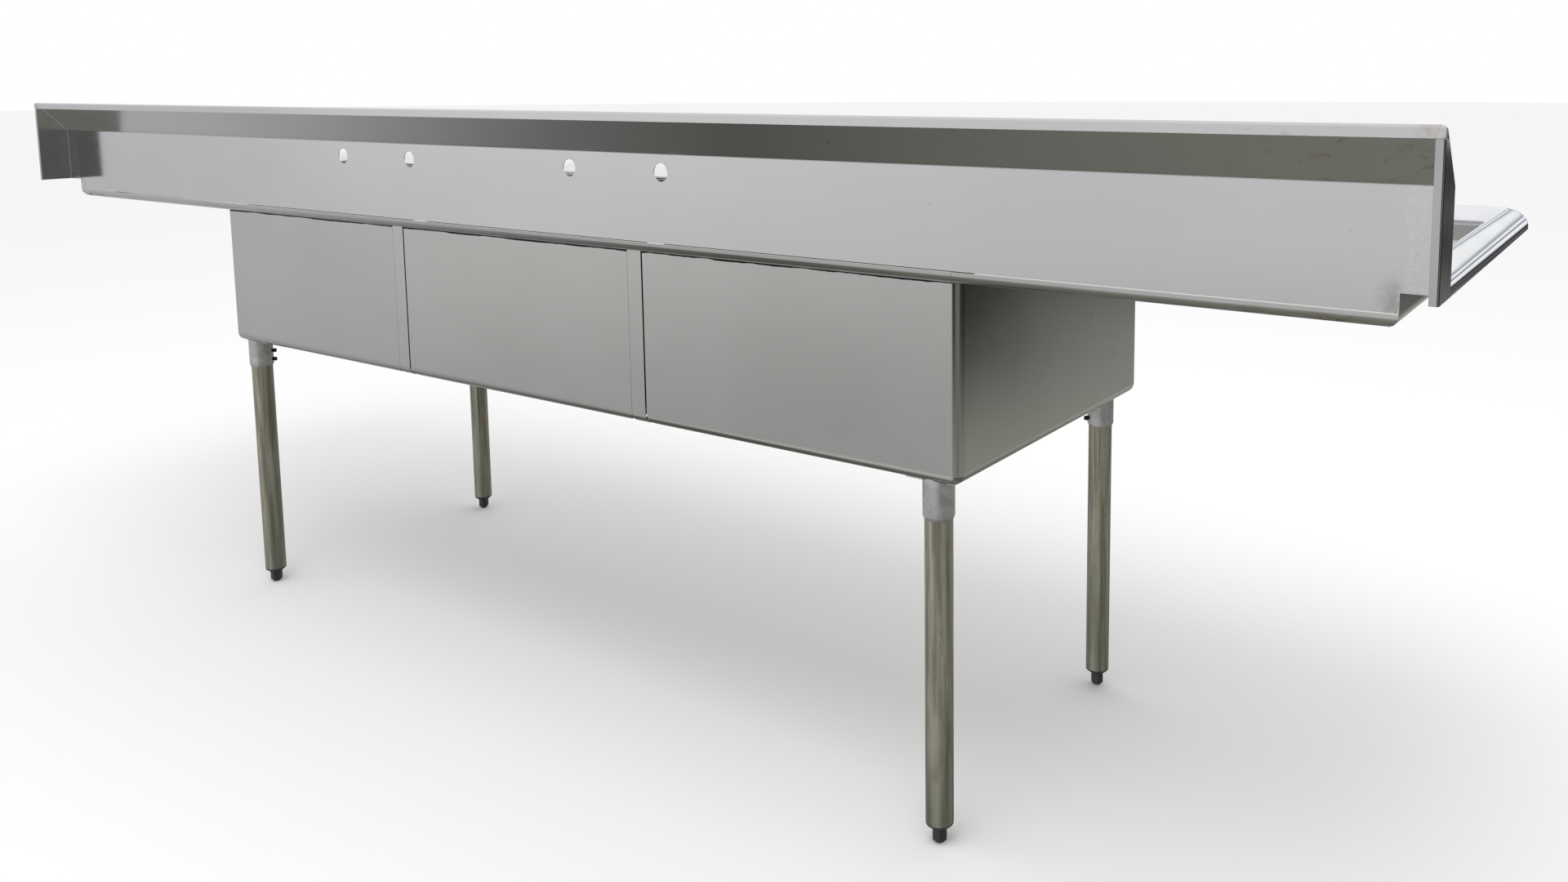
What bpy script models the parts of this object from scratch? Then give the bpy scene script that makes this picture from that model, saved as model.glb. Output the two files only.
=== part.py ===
"""Three compartment sink with two drainboards, a sloped-top backsplash and four adjustable legs.

Metres, +Z up. X runs along the sink, the user stands at -Y and the wall is at +Y.
The origin is on the floor under the middle of the sink.
"""
import math

import bmesh
import bpy
from mathutils import Matrix, Vector

# Overall sizes
LENGTH = 3.073
DEPTH = 0.800
HEIGHT = 1.061

# Sheet metal and fits
SHEET = 0.0015
GAP = 0.0003
ARC_STEPS = 5
ROUND_STEPS = 28
SMALL_ROUND_STEPS = 20
SCREW_STEPS = 10
MERGE = 0.00001

# Backsplash
SPLASH_RISE = 0.157
SPLASH_STANDOFF = 0.0635
SLOPE_DROP = 0.0693
RETURN_HEIGHT = 0.0185
TOP_BEND_R = 0.003
CAP_FLANGE = 0.010
FAUCET_HOLE_R = 0.01425
FAUCET_SPACING = 0.2032
FAUCET_DROP = 0.098

# Top tray: rim, deck and drainboards
TRAY_DEPTH = 0.068
ROLL_R = 0.0165
TRAY_CORNER_R = ROLL_R + 0.004
RIM_WIDTH = 0.049
RIM_DROP = 0.028
RIM_STEPS = 12
GROOVE_COUNT = 8
GROOVE_HALF_WIDTH = 0.0045
GROOVE_DEPTH = 0.0025
GROOVE_FLOOR_SHARE = 0.45
GROOVE_TIP_SHARE = 0.3
GROOVE_RUN_OUT = 0.012
GROOVE_MARGIN = 0.050

# Bowls
BOWL_COUNT = 3
BOWL_WIDTH = 0.5903
BOWL_SPACE = 0.034
BOWL_DEPTH = 0.358
BOWL_R = 0.0165
BOWL_CORNER_R = BOWL_R + 0.002
BACK_LEDGE = 0.038
FRONT_LEDGE = 0.0271
DECK_MARGIN = 0.012
STRIP_OPEN_GAP = 0.0018
STRIP_RETURN = 0.030

# Drains
DRAIN_HOLE_R = 0.0445
DRAIN_FIT = 0.0010
FLANGE_LIP = 0.0125
FLANGE_HEIGHT = 0.0020
CUP_DEPTH = 0.042
CUP_WALL = 0.0020
TAIL_R = 0.0190
TAIL_LENGTH = 0.034
GASKET_LIP = 0.0115
GASKET_HEIGHT = 0.0025
NUT_WALL = 0.0085
NUT_LUG = 0.0045
NUT_HEIGHT = 0.0110
NUT_LUGS = 8
NUT_LUG_SLANT = 0.2
BASKET_FIT = 0.0020
BASKET_SINK = 0.0060
BASKET_WALL = 0.0012
BASKET_TAPER = 0.0075
BASKET_HOLES = 8
BASKET_HOLE_R = 0.0030
KNOB_R = 0.0075
KNOB_EDGE = 0.0018
KNOB_THICKNESS = 0.0055
KNOB_HEIGHT = 0.014
STEM_R = 0.0035
SEAL_HEIGHT = 0.0040
SEAL_OVERLAP = 0.0040

# Legs
TUBE_R = 0.02064
TUBE_WALL = 0.0015
SOCKET_WALL = 0.0023
SOCKET_LENGTH = 0.057
SOCKET_CHAMFER = 0.0020
SOCKET_CHAMFER_HEIGHT = 0.0044
SOCKET_RISE = 0.0115
SOCKET_TOP = 0.0040
PLATE_SIZE = 0.080
PLATE_HEIGHT = 0.0030
LEG_INSET_SIDE = 0.0485
LEG_INSET_BACK = 0.028
LEG_INSET_FRONT = 0.050
SCREW_R = 0.0030
SCREW_HEAD_R = 0.0042
SCREW_HEAD = 0.0065
SCREW_DROPS = (0.025, 0.044)
COLLAR_HEIGHT = 0.0090
COLLAR_STRAIGHT = 0.0015
PLUG_LENGTH = 0.025
FOOT_R = 0.0118
FOOT_HEIGHT = 0.0225
FOOT_CHAMFER = 0.0055
FOOT_STEM_R = 0.0055
FOOT_STEM_LENGTH = 0.065

# Places worked out from the sizes above
WALL_Y = DEPTH / 2
PANEL_BACK = WALL_Y - SPLASH_STANDOFF
PANEL_FRONT = PANEL_BACK - SHEET
RIM_TOP = HEIGHT - SPLASH_RISE
DECK_UNDER = RIM_TOP - TRAY_DEPTH
ROLL_LINE = DECK_UNDER + ROLL_R
SKIRT_Z = RIM_TOP - RIM_DROP
END_X = LENGTH / 2 - RIM_WIDTH
FRONT_Y = -DEPTH / 2 + RIM_WIDTH
BOWL_PITCH = BOWL_WIDTH + BOWL_SPACE
BOWLS_HALF = (BOWL_COUNT * BOWL_WIDTH + (BOWL_COUNT - 1) * BOWL_SPACE) / 2
BOWL_BACK = PANEL_BACK - BACK_LEDGE
BOWL_FRONT = FRONT_Y + FRONT_LEDGE
BOWL_MID_Y = (BOWL_BACK + BOWL_FRONT) / 2
BOWL_TOP = DECK_UNDER - GAP
BOWL_BOTTOM = RIM_TOP - BOWL_DEPTH
DECK_HALF = BOWLS_HALF + DECK_MARGIN
SOCKET_BOTTOM = BOWL_BOTTOM - SOCKET_LENGTH
TUBE_TOP = BOWL_BOTTOM - SOCKET_TOP - GAP
TUBE_BOTTOM = FOOT_HEIGHT + COLLAR_HEIGHT + 2 * GAP
LEG_X = BOWLS_HALF - LEG_INSET_SIDE
LEGS = {
    "back_left": Vector((LEG_X, BOWL_BACK - LEG_INSET_BACK, 0)),
    "back_right": Vector((-LEG_X, BOWL_BACK - LEG_INSET_BACK, 0)),
    "front_left": Vector((LEG_X, BOWL_FRONT + LEG_INSET_FRONT, 0)),
    "front_right": Vector((-LEG_X, BOWL_FRONT + LEG_INSET_FRONT, 0)),
}
BOWLS = {"left": 1, "center": 0, "right": -1}


# ---------------------------------------------------------------- helpers

def material(name, colour, roughness, metallic):
    made = bpy.data.materials.new(name)
    made.use_nodes = True
    shader = made.node_tree.nodes["Principled BSDF"]
    shader.inputs["Base Color"].default_value = (*colour, 1.0)
    shader.inputs["Roughness"].default_value = roughness
    shader.inputs["Metallic"].default_value = metallic
    made.diffuse_color = (*colour, 1.0)
    return made


def add_object(name, bm, mat, origin=(0, 0, 0), smooth_angle=35):
    """Turns a bmesh in world coordinates into an object whose origin is at origin."""
    bmesh.ops.recalc_face_normals(bm, faces=bm.faces)
    bmesh.ops.translate(bm, verts=bm.verts, vec=-Vector(origin))
    mesh = bpy.data.meshes.new(name)
    bm.to_mesh(mesh)
    bm.free()
    mesh.shade_smooth()
    mesh.set_sharp_from_angle(angle=math.radians(smooth_angle))
    if mat:
        mesh.materials.append(mat)
    made = bpy.data.objects.new(name, mesh)
    made.location = origin
    bpy.context.scene.collection.objects.link(made)
    return made


def add_guide(name, bm):
    """A hidden shape that only cuts or joins another object."""
    guide = add_object(name, bm, None)
    guide.hide_render = True
    guide.display_type = "WIRE"
    return guide


def combine(target, guide, operation):
    modifier = target.modifiers.new(guide.name, "BOOLEAN")
    modifier.operation = operation
    modifier.object = guide
    modifier.solver = "EXACT"


def arc(centre, radius, start, end, steps):
    """Points on an arc from start to end, in degrees."""
    angles = [math.radians(start + (end - start) * k / steps) for k in range(steps + 1)]
    return [Vector((centre[0] + radius * math.cos(a), centre[1] + radius * math.sin(a))) for a in angles]


def offset_path(path, distance):
    """The path moved sideways by distance, to the left of its direction of travel."""
    moved = []
    for k, point in enumerate(path):
        before = (point - path[k - 1]).normalized() if k else None
        after = (path[k + 1] - point).normalized() if k < len(path) - 1 else None
        before = before or after
        after = after or before
        left = Vector((-(before.y + after.y), before.x + after.x)).normalized()
        lean = left.dot(Vector((-after.y, after.x)))
        moved.append(point + left * (distance / lean))
    return moved


def sweep(sections):
    """A bent sheet: each section is (one side's points, other side's points), in 3-D."""
    bm = bmesh.new()
    rows = [[bm.verts.new(p) for p in (*near, *reversed(far))] for near, far in sections]
    count = len(rows[0])
    for low, high in zip(rows, rows[1:]):
        for k in range(count):
            bm.faces.new((low[k], low[(k + 1) % count], high[(k + 1) % count], high[k]))
    for row in (rows[0], rows[-1]):
        for k in range(count // 2 - 1):
            bm.faces.new((row[k], row[k + 1], row[count - 2 - k], row[count - 1 - k]))
    return bm


def bent_along_x(path, thickness, x_low, x_high):
    """A bent sheet with the (y, z) path on one side, running from x_low to x_high."""
    far = offset_path(path, thickness)
    return sweep([([(x, *p) for p in path], [(x, *p) for p in far]) for x in (x_low, x_high)])


def prism(outline, low, high, axis="X"):
    """The outline pushed from low to high along X, Y or Z."""
    place = {
        "X": lambda p, t: (t, p[0], p[1]),
        "Y": lambda p, t: (p[0], t, p[1]),
        "Z": lambda p, t: (p[0], p[1], t),
    }[axis]
    bm = bmesh.new()
    face = bm.faces.new([bm.verts.new(place(p, low)) for p in outline])
    pushed = bmesh.ops.extrude_face_region(bm, geom=[face])
    verts = [v for v in pushed["geom"] if isinstance(v, bmesh.types.BMVert)]
    bmesh.ops.translate(bm, verts=verts, vec=Vector(place((0, 0), high - low)))
    return bm


def box(low, high):
    outline = [(low[0], low[1]), (high[0], low[1]), (high[0], high[1]), (low[0], high[1])]
    return prism(outline, low[2], high[2], "Z")


def rounded_rectangle(x_low, x_high, y_low, y_high, radius, steps):
    return [
        *arc((x_high - radius, y_high - radius), radius, 0, 90, steps),
        *arc((x_low + radius, y_high - radius), radius, 90, 180, steps),
        *arc((x_low + radius, y_low + radius), radius, 180, 270, steps),
        *arc((x_high - radius, y_low + radius), radius, 270, 360, steps),
    ]


def turned(outline, steps, centre=(0, 0)):
    """The closed (radius, z) outline spun a full turn about the vertical axis at centre."""
    bm = bmesh.new()
    verts = [bm.verts.new((centre[0] + r, centre[1], z)) for r, z in outline]
    edges = [bm.edges.new((verts[k - 1], verts[k])) for k in range(len(verts))]
    edges = [e for e in edges if any(abs(v.co.x - centre[0]) > MERGE for v in e.verts)]
    bmesh.ops.spin(
        bm, geom=[*verts, *edges], cent=(*centre, 0), axis=(0, 0, 1), angle=2 * math.pi, steps=steps
    )
    bmesh.ops.remove_doubles(bm, verts=bm.verts, dist=MERGE)
    loose = [e for e in bm.edges if not e.link_faces]
    bmesh.ops.delete(bm, geom=loose, context="EDGES")
    return bm


def cylinder(start, end, radius, steps):
    bm = bmesh.new()
    start, end = Vector(start), Vector(end)
    turn = (end - start).to_track_quat("Z", "Y").to_matrix().to_4x4()
    bmesh.ops.create_cone(
        bm, cap_ends=True, segments=steps, radius1=radius, radius2=radius,
        depth=(end - start).length, matrix=Matrix.Translation((start + end) / 2) @ turn,
    )
    return bm


def join(parts):
    """Several separate bodies in one bmesh, for a guide."""
    whole = bmesh.new()
    for part in parts:
        mesh = bpy.data.meshes.new("part")
        part.to_mesh(mesh)
        part.free()
        whole.from_mesh(mesh)
        bpy.data.meshes.remove(mesh)
    return whole


# ------------------------------------------------- trays with rolled bottom edges

def round_corner(centre, radius, start):
    """Plan stations round a corner: (point on the wall, direction inward)."""
    stations = []
    for k in range(ARC_STEPS + 1):
        angle = math.radians(start + 90 * k / ARC_STEPS)
        out = Vector((math.cos(angle), math.sin(angle)))
        stations.append((Vector(centre) + out * radius, -out))
    return stations


def mitre_corner(point, inward):
    return [(Vector(point), Vector(inward))]


def tray_profile(top, bottom, radius, grow):
    """(inset, z) down the wall and round the bottom edge; grow moves it outward."""
    centre = (radius, bottom + radius)
    return [Vector((-grow, top)), *arc(centre, radius + grow, 180, 270, ARC_STEPS)]


def tray_rings(bm, stations, profile):
    rings = []
    for inset, z in profile:
        rings.append([bm.verts.new((*(base + inward * inset), z)) for base, inward in stations])
    return rings


def ring_faces(bm, rings, closed):
    count = len(rings[0])
    for low, high in zip(rings, rings[1:]):
        for k in range(count if closed else count - 1):
            bm.faces.new((low[k], low[(k + 1) % count], high[(k + 1) % count], high[k]))
    bm.faces.new(rings[-1])


def tray(stations, top, bottom, radius, closed):
    """A sheet metal tray. An open one is open where its stations start and end."""
    bm = bmesh.new()
    outer = tray_rings(bm, stations, tray_profile(top, bottom, radius, 0))
    inner = tray_rings(bm, stations, tray_profile(top, bottom, radius, -SHEET))
    ring_faces(bm, outer, closed)
    ring_faces(bm, inner, closed)
    count = len(stations)
    for k in range(count if closed else count - 1):
        n = (k + 1) % count
        bm.faces.new((outer[0][k], outer[0][n], inner[0][n], inner[0][k]))
    if not closed:
        for side in (0, -1):
            for k in range(len(outer) - 1):
                bm.faces.new((outer[k][side], outer[k + 1][side], inner[k + 1][side], inner[k][side]))
        bm.faces.new((outer[-1][0], outer[-1][-1], inner[-1][-1], inner[-1][0]))
    return bm


def block(stations, top, bottom, radius, grow):
    """The solid that a closed tray's outside encloses, grown by a gap."""
    bm = bmesh.new()
    rings = tray_rings(bm, stations, tray_profile(top, bottom, radius, grow))
    ring_faces(bm, rings, True)
    bm.faces.new(rings[0])
    return bm


# ---------------------------------------------------------------- materials

STEEL = material("brushed_stainless", (0.60, 0.60, 0.59), 0.32, 1.0)
POLISHED = material("polished_stainless", (0.78, 0.79, 0.80), 0.10, 1.0)
CAP_STEEL = material("cap_stainless", (0.55, 0.55, 0.54), 0.30, 1.0)
ZINC = material("zinc_casting", (0.52, 0.53, 0.54), 0.48, 1.0)
GALVANISED = material("galvanised_tube", (0.36, 0.35, 0.27), 0.42, 0.9)
BLACK_STEEL = material("black_oxide_screw", (0.03, 0.03, 0.03), 0.45, 0.8)
COLLAR_GREY = material("collar_plastic", (0.06, 0.06, 0.06), 0.55, 0.0)
FOOT_BLACK = material("foot_plastic", (0.025, 0.027, 0.027), 0.50, 0.0)
RUBBER = material("black_rubber", (0.02, 0.02, 0.02), 0.80, 0.0)
DRAIN_STEEL = material("drain_stainless", (0.66, 0.66, 0.66), 0.22, 1.0)


# ---------------------------------------------------------------- backsplash

def splash_path():
    """(y, z) of the splash's front side: wall return, top slope and upright panel."""
    centre = Vector((WALL_Y - TOP_BEND_R, HEIGHT - TOP_BEND_R))
    slope_foot = Vector((PANEL_FRONT, HEIGHT - SLOPE_DROP))
    # the slope leaves the top bend along a tangent
    run = centre - slope_foot
    lean = math.degrees(math.asin(TOP_BEND_R / run.length) + math.atan2(run.y, run.x))
    bend = arc(centre, TOP_BEND_R, 0, 90 + lean, ARC_STEPS)
    return [
        Vector((WALL_Y, HEIGHT - RETURN_HEIGHT)),
        *bend,
        slope_foot,
        Vector((PANEL_FRONT, ROLL_LINE + GAP)),
    ]


def build_backsplash():
    half = LENGTH / 2
    panel = add_object("backsplash", bent_along_x(splash_path(), SHEET, -half, half), STEEL)
    below = DECK_UNDER - SHEET
    notches = []
    for side in (-1, 1):
        low, high = sorted((side * END_X, side * (half + RIM_WIDTH)))
        notches.append(box((low, PANEL_FRONT - RIM_WIDTH, below), (high, WALL_Y, SKIRT_Z)))
    combine(panel, add_guide("cut_splash_ends", join(notches)), "DIFFERENCE")
    holes = []
    for seam in (-1, 1):
        for side in (-1, 1):
            x = seam * BOWL_PITCH / 2 + side * FAUCET_SPACING / 2
            z = HEIGHT - FAUCET_DROP
            ends = (x, PANEL_FRONT - SHEET, z), (x, PANEL_BACK + SHEET, z)
            holes.append(cylinder(*ends, FAUCET_HOLE_R, ROUND_STEPS))
    combine(panel, add_guide("cut_faucet_holes", join(holes)), "DIFFERENCE")


def build_end_cap(name, side):
    """A plate under the slope with a narrow flange turned in along the wall."""
    inside = offset_path(splash_path(), SHEET + GAP)
    slope_top, slope_foot = inside[-3:-1]
    top = HEIGHT - RETURN_HEIGHT - GAP
    outline = [
        Vector((WALL_Y, SKIRT_Z)),
        Vector((WALL_Y, top)),
        slope_foot.lerp(slope_top, (top - slope_foot.y) / (slope_top.y - slope_foot.y)),
        slope_foot,
        Vector((slope_foot.x, SKIRT_Z)),
    ]
    x = side * LENGTH / 2
    bm = bmesh.new()
    rim = [bm.verts.new((x, *p)) for p in outline]
    bm.faces.new(rim)
    turned_in = [bm.verts.new((x - side * CAP_FLANGE, v.co.y, v.co.z)) for v in rim[:2]]
    bm.faces.new((rim[0], rim[1], turned_in[1], turned_in[0]))
    bmesh.ops.recalc_face_normals(bm, faces=bm.faces)
    plate = max(bm.faces, key=lambda f: f.calc_area())
    if plate.normal.x * side < 0:
        bmesh.ops.reverse_faces(bm, faces=bm.faces)
    mesh = bpy.data.meshes.new(name)
    bm.to_mesh(mesh)
    bm.free()
    mesh.materials.append(CAP_STEEL)
    cap = bpy.data.objects.new(name, mesh)
    bpy.context.scene.collection.objects.link(cap)
    fold = cap.modifiers.new("thickness", "SOLIDIFY")
    fold.thickness = SHEET
    fold.offset = -1
    fold.use_even_offset = True


# ---------------------------------------------------------------- rim, deck, drainboards

def build_rim():
    """One 180 degree rolled edge along the left end, the front and the right end."""
    roll_r = (RIM_WIDTH + SHEET) / 2
    centre = (RIM_WIDTH - roll_r, RIM_TOP - roll_r)
    path = [
        Vector((-SHEET, SKIRT_Z + GAP)),
        *arc(centre, roll_r, 180, 0, RIM_STEPS),
        Vector((RIM_WIDTH, SKIRT_Z)),
    ]
    far = offset_path(path, -SHEET)
    back = PANEL_FRONT - GAP
    r = TRAY_CORNER_R
    stations = [
        (Vector((END_X, back)), Vector((-1, 0))),
        *reversed(round_corner((END_X - r, FRONT_Y + r), r, -90)),
        *reversed(round_corner((-END_X + r, FRONT_Y + r), r, 180)),
        (Vector((-END_X, back)), Vector((1, 0))),
    ]
    sections = []
    for base, inward in stations:
        near_side = [(*(base - inward * d), z) for d, z in path]
        far_side = [(*(base - inward * d), z) for d, z in far]
        sections.append((near_side, far_side))
    add_object("rolled_rim", sweep(sections), POLISHED)


def build_deck():
    """The flat between and round the bowls, rolled up at the back and the front."""
    back = arc((PANEL_BACK - ROLL_R, ROLL_LINE), ROLL_R, 360, 270, ARC_STEPS)
    front = arc((FRONT_Y + ROLL_R, ROLL_LINE), ROLL_R, 270, 180, ARC_STEPS)
    path = [*back, *front, Vector((FRONT_Y, SKIRT_Z))]
    half = DECK_HALF - GAP / 2
    deck = add_object("sink_deck", bent_along_x(path, -SHEET, -half, half), STEEL)
    holes = []
    for place in BOWLS.values():
        x = place * BOWL_PITCH
        reach = BOWL_WIDTH / 2 - SHEET
        ends = x - reach, x + reach, BOWL_FRONT + SHEET, BOWL_BACK - SHEET
        outline = rounded_rectangle(*ends, BOWL_R, ARC_STEPS)
        holes.append(prism(outline, DECK_UNDER - SHEET, DECK_UNDER + 2 * SHEET, "Z"))
    combine(deck, add_guide("cut_deck_openings", join(holes)), "DIFFERENCE")


def groove(x_low, x_high, y, half_width, top, bottom):
    """A trough along X that gets narrower and shallower at both ends."""
    bm = bmesh.new()
    rows = []
    places = (
        (x_low, GROOVE_TIP_SHARE),
        (x_low + GROOVE_RUN_OUT, 1),
        (x_high - GROOVE_RUN_OUT, 1),
        (x_high, GROOVE_TIP_SHARE),
    )
    for x, scale in places:
        wide = half_width * scale
        flat = wide * GROOVE_FLOOR_SHARE
        z = top + (bottom - top) * scale
        row = [(x, y - wide, top), (x, y - flat, z), (x, y + flat, z), (x, y + wide, top)]
        rows.append([bm.verts.new(p) for p in row])
    for low, high in zip(rows, rows[1:]):
        for k in range(4):
            bm.faces.new((low[k], low[(k + 1) % 4], high[(k + 1) % 4], high[k]))
    bm.faces.new(rows[0])
    bm.faces.new(rows[-1])
    bmesh.ops.recalc_face_normals(bm, faces=bm.faces)
    return bm


def build_drainboard(name, side):
    """A tray open towards the bowls, with pressed drain grooves in its floor."""
    inner_x = DECK_HALF + GAP / 2
    r = TRAY_CORNER_R
    stations = [
        (Vector((inner_x, PANEL_BACK)), Vector((0, -1))),
        *mitre_corner((END_X, PANEL_BACK), (-1, -1)),
        *reversed(round_corner((END_X - r, FRONT_Y + r), r, -90)),
        (Vector((inner_x, FRONT_Y)), Vector((0, 1))),
    ]
    stations = [(Vector((side * p.x, p.y)), Vector((side * n.x, n.y))) for p, n in stations]
    board = add_object(name, tray(stations, SKIRT_Z, DECK_UNDER, ROLL_R, False), STEEL)
    low, high = sorted((side * (inner_x - RIM_WIDTH), side * (END_X + RIM_WIDTH)))
    above_roll = box((low, PANEL_FRONT - GAP, ROLL_LINE), (high, WALL_Y, RIM_TOP))
    combine(board, add_guide("cut_" + name + "_back", above_roll), "DIFFERENCE")
    floor_top = DECK_UNDER + SHEET
    x_ends = sorted((side * (inner_x + GROOVE_MARGIN), side * (END_X - GROOVE_MARGIN)))
    y_low = FRONT_Y + GROOVE_MARGIN
    y_step = (PANEL_BACK - GROOVE_MARGIN - y_low) / (GROOVE_COUNT - 1)
    rows = [y_low + k * y_step for k in range(GROOVE_COUNT)]
    skin = [
        groove(x_ends[0] - SHEET, x_ends[1] + SHEET, y, GROOVE_HALF_WIDTH + SHEET,
               floor_top - SHEET / 2, floor_top - GROOVE_DEPTH - SHEET)
        for y in rows
    ]
    combine(board, add_guide("join_" + name + "_grooves", join(skin)), "UNION")
    hollow = [
        groove(*x_ends, y, GROOVE_HALF_WIDTH, floor_top + SHEET / 4, floor_top - GROOVE_DEPTH)
        for y in rows
    ]
    combine(board, add_guide("cut_" + name + "_grooves", join(hollow)), "DIFFERENCE")


# ---------------------------------------------------------------- bowls and strips

def bowl_stations(place):
    """Round vertical corners at the sink's ends, square ones beside a neighbour."""
    x = place * BOWL_PITCH
    x_low, x_high = x - BOWL_WIDTH / 2, x + BOWL_WIDTH / 2
    r = BOWL_CORNER_R
    corners = (
        (x_high, BOWL_BACK, 0, place > 0),
        (x_low, BOWL_BACK, 90, place < 0),
        (x_low, BOWL_FRONT, 180, place < 0),
        (x_high, BOWL_FRONT, 270, place > 0),
    )
    stations = []
    for cx, cy, start, is_round in corners:
        inward = (-1 if cx == x_high else 1, -1 if cy == BOWL_BACK else 1)
        if is_round:
            centre = (cx + inward[0] * r, cy + inward[1] * r)
            stations += round_corner(centre, r, start)
        else:
            stations += mitre_corner((cx, cy), inward)
    return stations


def build_bowl(word, place):
    stations = bowl_stations(place)
    bowl = add_object("bowl_" + word, tray(stations, BOWL_TOP, BOWL_BOTTOM, BOWL_R, True), STEEL)
    x = place * BOWL_PITCH
    ends = (x, BOWL_MID_Y, BOWL_BOTTOM - SHEET), (x, BOWL_MID_Y, BOWL_BOTTOM + 2 * SHEET)
    hole = cylinder(*ends, DRAIN_HOLE_R, ROUND_STEPS)
    combine(bowl, add_guide("cut_drain_" + word, hole), "DIFFERENCE")


def build_strip(name, seam, facing):
    """A filler strip that closes the space between two bowls, flush with their faces."""
    if facing > 0:
        face = BOWL_BACK
    else:
        face = BOWL_FRONT
    centre_y = face - facing * BOWL_R
    bend = arc((0, BOWL_BOTTOM + BOWL_R), BOWL_R, 0, -90, ARC_STEPS)
    path = [
        Vector((face, BOWL_TOP)),
        *[Vector((centre_y + facing * p.x, p.y)) for p in bend],
        Vector((centre_y - facing * STRIP_RETURN, BOWL_BOTTOM)),
    ]
    x = seam * BOWL_PITCH / 2
    x_low = x - BOWL_SPACE / 2 + STRIP_OPEN_GAP
    x_high = x + BOWL_SPACE / 2 - GAP
    add_object(name, bent_along_x(path, -facing * SHEET, x_low, x_high), STEEL)


# ---------------------------------------------------------------- drains

def build_drain(word, place):
    centre = (place * BOWL_PITCH, BOWL_MID_Y)
    floor = BOWL_BOTTOM + SHEET
    cup_r = DRAIN_HOLE_R - DRAIN_FIT
    flange_r = DRAIN_HOLE_R + FLANGE_LIP
    cup_floor = floor - CUP_DEPTH
    tail_end = cup_floor - TAIL_LENGTH
    tail_bore = TAIL_R - CUP_WALL
    body = [
        (cup_r, floor + GAP),
        (flange_r, floor + GAP),
        (flange_r - FLANGE_HEIGHT / 2, floor + GAP + FLANGE_HEIGHT),
        (cup_r - CUP_WALL, floor + GAP + FLANGE_HEIGHT / 2),
        (cup_r - CUP_WALL, cup_floor),
        (tail_bore, cup_floor - CUP_WALL),
        (tail_bore, tail_end),
        (TAIL_R, tail_end),
        (TAIL_R, cup_floor - 2 * CUP_WALL),
        (cup_r, cup_floor - CUP_WALL),
    ]
    add_object("strainer_body_" + word, turned(body, ROUND_STEPS, centre), DRAIN_STEEL)

    hole_r = cup_r + GAP
    gasket_r = DRAIN_HOLE_R + GASKET_LIP
    under = BOWL_BOTTOM - GAP
    gasket = [
        (hole_r, under),
        (gasket_r, under),
        (gasket_r, under - GASKET_HEIGHT),
        (hole_r, under - GASKET_HEIGHT),
    ]
    add_object("strainer_gasket_" + word, turned(gasket, ROUND_STEPS, centre), RUBBER)

    nut_top = under - GASKET_HEIGHT - GAP
    nut_low = nut_top - NUT_HEIGHT
    outline = []
    for k in range(NUT_LUGS * 4):
        reach = DRAIN_HOLE_R + NUT_WALL + (NUT_LUG if k % 4 in (0, 1) else 0)
        slant = NUT_LUG_SLANT if k % 2 == 0 else -NUT_LUG_SLANT
        angle = 2 * math.pi * (k + slant) / (NUT_LUGS * 4)
        outline.append((centre[0] + reach * math.cos(angle), centre[1] + reach * math.sin(angle)))
    nut = add_object("strainer_locknut_" + word, prism(outline, nut_low, nut_top, "Z"), ZINC)
    bore_ends = (*centre, nut_low - NUT_HEIGHT), (*centre, nut_top + NUT_HEIGHT)
    bore = cylinder(*bore_ends, hole_r, ROUND_STEPS)
    combine(nut, add_guide("cut_locknut_" + word, bore), "DIFFERENCE")

    basket_r = cup_r - CUP_WALL - BASKET_FIT
    seal_low = cup_floor + GAP
    seal_top = seal_low + SEAL_HEIGHT
    seal_r = tail_bore + SEAL_OVERLAP
    seal = [
        (STEM_R + GAP, seal_low),
        (seal_r, seal_low),
        (seal_r, seal_top),
        (STEM_R + GAP, seal_top),
    ]
    add_object("basket_seal_" + word, turned(seal, SMALL_ROUND_STEPS, centre), RUBBER, (*centre, seal_low))

    dish_low = seal_top + GAP
    rim_z = floor - BASKET_SINK
    knob_z = floor + KNOB_HEIGHT
    dish_r = basket_r - BASKET_TAPER
    basket = [
        (0, knob_z),
        (KNOB_R - KNOB_EDGE, knob_z),
        (KNOB_R, knob_z - KNOB_EDGE),
        (KNOB_R, knob_z - KNOB_THICKNESS),
        (STEM_R, knob_z - KNOB_THICKNESS - KNOB_EDGE),
        (STEM_R, dish_low + BASKET_WALL),
        (dish_r, dish_low + BASKET_WALL),
        (basket_r - BASKET_WALL, rim_z),
        (basket_r, rim_z),
        (dish_r + BASKET_WALL, dish_low),
        (STEM_R, dish_low),
        (STEM_R, seal_low),
        (0, seal_low),
    ]
    dish = turned(basket, SMALL_ROUND_STEPS, centre)
    strainer = add_object("strainer_basket_" + word, dish, DRAIN_STEEL, (*centre, seal_low))
    reach = (dish_r + max(STEM_R, seal_r)) / 2
    holes = []
    for k in range(BASKET_HOLES):
        angle = 2 * math.pi * k / BASKET_HOLES
        x, y = centre[0] + reach * math.cos(angle), centre[1] + reach * math.sin(angle)
        ends = (x, y, dish_low - BASKET_WALL), (x, y, dish_low + 2 * BASKET_WALL)
        holes.append(cylinder(*ends, BASKET_HOLE_R, SCREW_STEPS))
    combine(strainer, add_guide("cut_basket_" + word, join(holes)), "DIFFERENCE")


# ---------------------------------------------------------------- legs

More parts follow.
